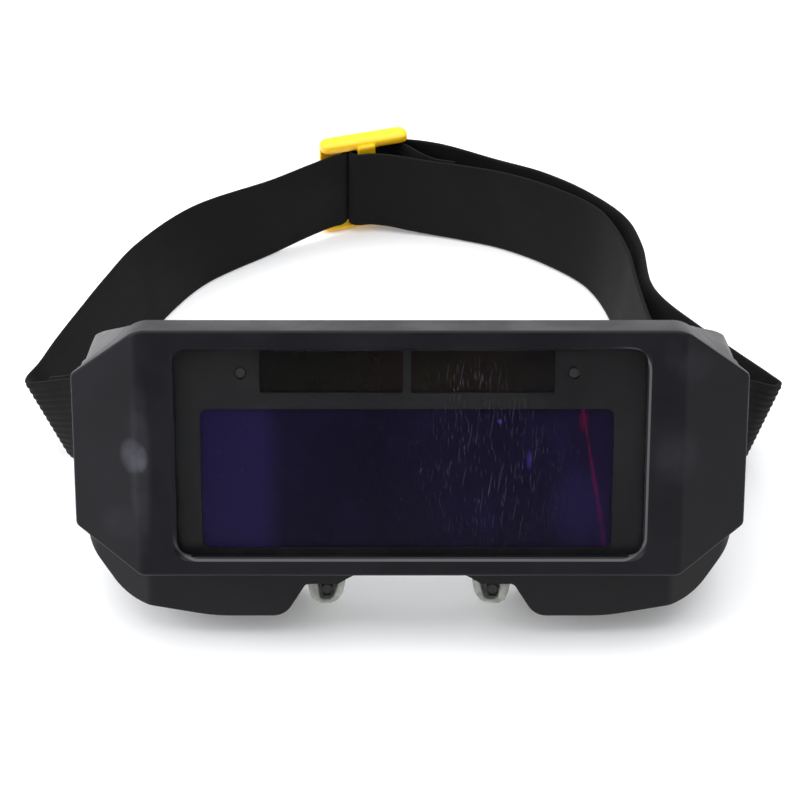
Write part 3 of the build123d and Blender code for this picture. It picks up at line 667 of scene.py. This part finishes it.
def elastic_material():
    """Knitted elastic: near-black, matt, a little lighter where the yarn stands up."""
    shader = Shader("elastic", Roughness=0.86, IOR=1.4, Specular_IOR_Level=0.2)
    shader.principled.inputs["Sheen Weight"].default_value = 0.03
    shader.principled.inputs["Sheen Roughness"].default_value = 0.5
    node = shader.tree.nodes.new("ShaderNodeAttribute")
    node.attribute_name = "lay"
    separate = shader.tree.nodes.new("ShaderNodeSeparateXYZ")
    shader.tree.links.new(node.outputs["Vector"], separate.inputs[0])
    along, up = separate.outputs[0], separate.outputs[1]
    loops = shader.math("SINE", shader.math("MULTIPLY", along, 9.0))
    yarn = shader.math("SINE", shader.math("MULTIPLY", up, 14.0))
    weave = shader.math("MULTIPLY", loops, yarn)
    fuzz = shader.noise(shader.stretch(3.0, 3.0, 3.0), 1.0, 3.0)
    worn = shader.noise(shader.stretch(0.04, 0.04, 0.04), 1.0, 3.0)
    hollow, raised, rubbed = (0.0042, 0.0042, 0.0045), (0.0082, 0.0080, 0.0084), (0.0105, 0.0098, 0.0108)
    colour = shader.mix(shader.span(weave, -0.6, 1.0), hollow, raised)
    colour = shader.mix(shader.span(worn, 0.45, 0.75, 0.0, 0.5), colour, rubbed)
    shader.set("Base Color", colour)
    shader.bump(shader.math("ADD", weave, fuzz), 0.06, 0.5)
    return shader.material


def make_band(material):
    frames, length = smooth_route(ROUTE, 0.75)
    vertices = []
    faces = []
    lay = []
    n = len(band_section(1.0))
    # the ribs change face where the band turns in the right-hand slot
    slot = Vector(RIGHT_TURN[:3]) + TO_MIDDLE
    turn = min(range(len(frames)), key=lambda k: (frames[k][0] - slot).length)
    blend_rows = 6
    for k, (middle, lean, through) in enumerate(frames):
        for across, up in band_section(min(max((turn - k) / blend_rows + 0.5, 0.0), 1.0)):
            vertices.append((middle + through * across + lean * up) * MM)
            lay.append((length * k / (len(frames) - 1), up, 0.0))
    for k in range(len(frames) - 1):
        for j in range(n):
            a, b = k * n + j, k * n + (j + 1) % n
            faces.append((a, a + n, b + n, b))
    faces.append(tuple(range(n)))
    faces.append(tuple((len(frames) - 1) * n + j for j in range(n))[::-1])
    band = mesh_object("elastic_band", vertices, faces, material)
    attribute = band.data.attributes.new("lay", "FLOAT_VECTOR", "POINT")
    attribute.data.foreach_set("vector", [number for item in lay for number in item])
    return band, frames, length


ELASTIC = elastic_material()
band, band_frames, band_length = make_band(ELASTIC)
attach(band, ROOT)
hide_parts("strap_left_hem", "strap_left_run", "strap_outer_run", "strap_inner_run", "strap_sewn_loop")


# ---------------------------------------------------------------- thread
THREAD = plain("thread", (0.012, 0.012, 0.013), (0.03, 0.03, 0.032), 0.3, Roughness=0.55)


def add_stitch(vertices, faces, start, end, lift_way, radius):
    """A short thread lying on the cloth: a tapering six-sided tube that rises between its two holes."""
    along = end - start
    sideways = along.cross(lift_way).normalized()
    rings, sides = 6, 6
    first = len(vertices)
    for k in range(rings):
        share = k / (rings - 1)
        swell = sin(pi * share)
        centre = start + along * share + lift_way * radius * 1.3 * swell
        for j in range(sides):
            turn = tau * j / sides
            out = sideways * cos(turn) + lift_way * sin(turn)
            vertices.append((centre + out * radius * (0.35 + 0.65 * swell)) * MM)
    for k in range(rings - 1):
        for j in range(sides):
            a, b = first + k * sides + j, first + k * sides + (j + 1) % sides
            faces.append((a, b, b + sides, a + sides))
    faces.append(tuple(first + j for j in range(sides))[::-1])
    faces.append(tuple(first + (rings - 1) * sides + j for j in range(sides)))


def nearest_frame(point):
    target = Vector(point) + TO_MIDDLE
    return min(range(len(band_frames)), key=lambda k: (band_frames[k][0] - target).length)


def stitch_rows(name, index, side, rows, margin=1.6, pitch=1.3):
    """Zigzag rows across the band, on its outer (1) or inner (-1) face."""
    middle, lean, through = band_frames[index]
    along = lean.cross(through).normalized()
    face = middle + through * side * (BAND_T / 2 - 0.1)
    vertices, faces = [], []
    half_swing, thread_radius = 0.55, 0.19
    for row in rows:
        up = -BAND_W / 2 + margin
        left = True
        while up + pitch < BAND_W / 2 - margin:
            swing = half_swing if left else -half_swing
            start = face + lean * up + along * (row - swing)
            end = face + lean * (up + pitch) + along * (row + swing)
            add_stitch(vertices, faces, start, end, through * side, thread_radius)
            up += pitch
            left = not left
    piece = mesh_object(name, vertices, faces, THREAD)
    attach(piece, ROOT)


TACK = nearest_frame((5.2, 75.3, 13.3))
HEM = nearest_frame((-80.0, -25.4, 17.6))
stitch_rows("bar_tack", TACK, -1, (-0.8, 0.8))
stitch_rows("hem_stitches", HEM, 1, (-1.0, 1.0))

# the tack's three loose ends hang from the band's lower edge
middle, lean, through = band_frames[TACK]
vertices, faces = [], []
tail = middle - through * 0.7 - lean * (BAND_W / 2 - 0.6)
for offset in ((0.0, -0.3, -1.4), (0.7, -0.5, -1.1), (-0.5, -0.2, -1.2)):
    add_stitch(vertices, faces, tail, tail + Vector(offset), through * -1, 0.16)
thread_tail = mesh_object("thread_tail", vertices, faces, THREAD)
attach(thread_tail, ROOT)


# ---------------------------------------------------------------- moulded pieces
def prism(vertices, faces, outline, place, low, high):
    """A straight-sided block over an outline; place(u, v, w) gives the point."""
    first = len(vertices)
    n = len(outline)
    for level in (low, high):
        for u, v in outline:
            vertices.append(place(u, v, level))
    faces.append(tuple(first + j for j in range(n))[::-1])
    faces.append(tuple(first + n + j for j in range(n)))
    for j in range(n):
        k = (j + 1) % n
        faces.append((first + j, first + k, first + n + k, first + n + j))


def rounded(corners, radius, steps=5):
    """The outline with its corners cut round."""
    outline = []
    n = len(corners)
    for i, corner in enumerate(corners):
        here = Vector(corner)
        to_last = Vector(corners[i - 1]) - here
        to_next = Vector(corners[(i + 1) % n]) - here
        reach = min(radius, to_last.length * 0.48, to_next.length * 0.48)
        a = here + to_last.normalized() * reach
        b = here + to_next.normalized() * reach
        for k in range(steps + 1):
            t = k / steps
            outline.append(tuple(a * (1 - t) ** 2 + here * 2 * t * (1 - t) + b * t * t))
    return outline


def moulded(name, vertices, faces, material, body, voxel, replaced):
    """Joins overlapping blocks into one skin with softened edges."""
    piece = mesh_object(name, vertices, faces, material)
    remesh = piece.modifiers.new("skin", "REMESH")
    remesh.mode = "VOXEL"
    remesh.voxel_size = voxel * MM
    remesh.use_smooth_shade = True
    soften = piece.modifiers.new("soften", "SMOOTH")
    soften.factor = 0.5
    soften.iterations = 6
    evaluated = piece.evaluated_get(bpy.context.evaluated_depsgraph_get())
    mesh = bpy.data.meshes.new_from_object(evaluated)
    piece.modifiers.clear()
    piece.data = mesh
    mesh.polygons.foreach_set("use_smooth", [True] * len(mesh.polygons))
    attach(piece, body)
    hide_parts(replaced)
    return piece


def rectangle(left, right, near, far):
    return [(left, near), (right, near), (right, far), (left, far)]


# a pad is a hooked blade with a thicker back; u runs towards the nose, v up the face
PAD_FRONT, PAD_REAR, PAD_BACK = 13.3, 20.7, 1.2
PAD_OUTLINE = [
    (4.5, -35.6), (3.9, -38.8), (2.7, -40.8), (1.0, -41.7), (-1.9, -41.7), (-3.4, -40.8), (-4.1, -39.0),
    (-4.6, -36.3), (-4.0, -35.9), (-2.3, -35.9), (-2.0, -38.4), (-1.7, -40.2), (-0.9, -40.6), (0.9, -40.6),
    (1.7, -39.8), (2.4, -37.6), (2.7, -35.8),
]
PAD_BACK_CORNERS = [(4.1, -36.0), (3.4, -40.0), (1.4, -41.8), (-2.0, -41.8), (-3.5, -40.2), (-4.2, -36.4)]


def add_pad(side, word, pad_x):
    vertices, faces = [], []

    def on_pad(u, v, depth):
        return on_face(side * (pad_x - u), v, depth)

    prism(vertices, faces, PAD_OUTLINE, on_pad, PAD_FRONT, PAD_REAR - PAD_BACK)
    prism(vertices, faces, rounded(PAD_BACK_CORNERS, 1.2), on_pad, PAD_REAR - PAD_BACK - 0.1, PAD_REAR)
    moulded(f"silicone_pad_{word}", vertices, faces, MATERIALS["pad_silicone"], f"{word}_nose_pad", 0.22,
            f"nose_pad_{word}")


add_pad(-1, "left", 19.6)
add_pad(1, "right", 19.2)


def on_slider(along, across, z):
    x, y, height, _, _ = in_slider(along, across, z)
    return (Vector((x, y, height)) + TO_MIDDLE) * MM


SLIDER_HALF_L, SLIDER_HALF_T = 12.5, 2.8
BAR_LOW, BAR_HIGH = 1.0, 29.0
BAR_HALF_W, BAR_FAR = 1.2, 2.7
vertices, faces = [], []


def rail(inset, low, high):
    """One layer of the slider's rounded top or bottom rail."""
    half_l, half_t = SLIDER_HALF_L - inset, SLIDER_HALF_T - inset
    corners = rectangle(-half_l, half_l, -half_t, half_t)
    prism(vertices, faces, rounded(corners, half_t + 0.6), on_slider, low, high)


rail(0.0, 0.5, 1.7)
rail(0.5, 0.15, 2.0)
for inset, low, high in ((0.0, 27.8, 29.6), (0.3, 27.6, 30.0), (0.8, 27.6, 30.35), (1.4, 27.6, 30.55)):
    rail(inset, low, high)
apron = rectangle(-12.2, 12.2, 0.95, BAR_FAR)
prism(vertices, faces, apron, on_slider, 23.6, 28.5)
for middle_of_bar in (-SLIDER_HALF_L + 1.4, SLIDER_HALF_L - 1.4):
    bar = rectangle(middle_of_bar - BAR_HALF_W, middle_of_bar + BAR_HALF_W, 0.9, BAR_FAR)
    prism(vertices, faces, bar, on_slider, BAR_LOW, BAR_HIGH)
prism(vertices, faces, rectangle(-2.5, 2.5, -3.55, -2.1), on_slider, BAR_LOW, BAR_HIGH)
moulded("slider_frame", vertices, faces, MATERIALS["yellow_plastic"], "slider", 0.3,
        "strap_slider")

# ---------------------------------------------------------------- floor
floor_shader = Shader("floor", Roughness=0.6)
field = floor_shader.noise(floor_shader.position, 3.0, 2.0)
floor_shader.set("Emission Color", (1, 1, 1, 1))
floor_shader.set("Emission Strength", 0.15)
floor_shader.set("Base Color", floor_shader.mix(field, (0.87, 0.87, 0.875), (0.89, 0.89, 0.89)))
corners = [(x, y, -0.0002) for x, y in rectangle(-6, 6, -6, 6)]
floor = mesh_object("floor", corners, [(0, 1, 2, 3)], floor_shader.material)
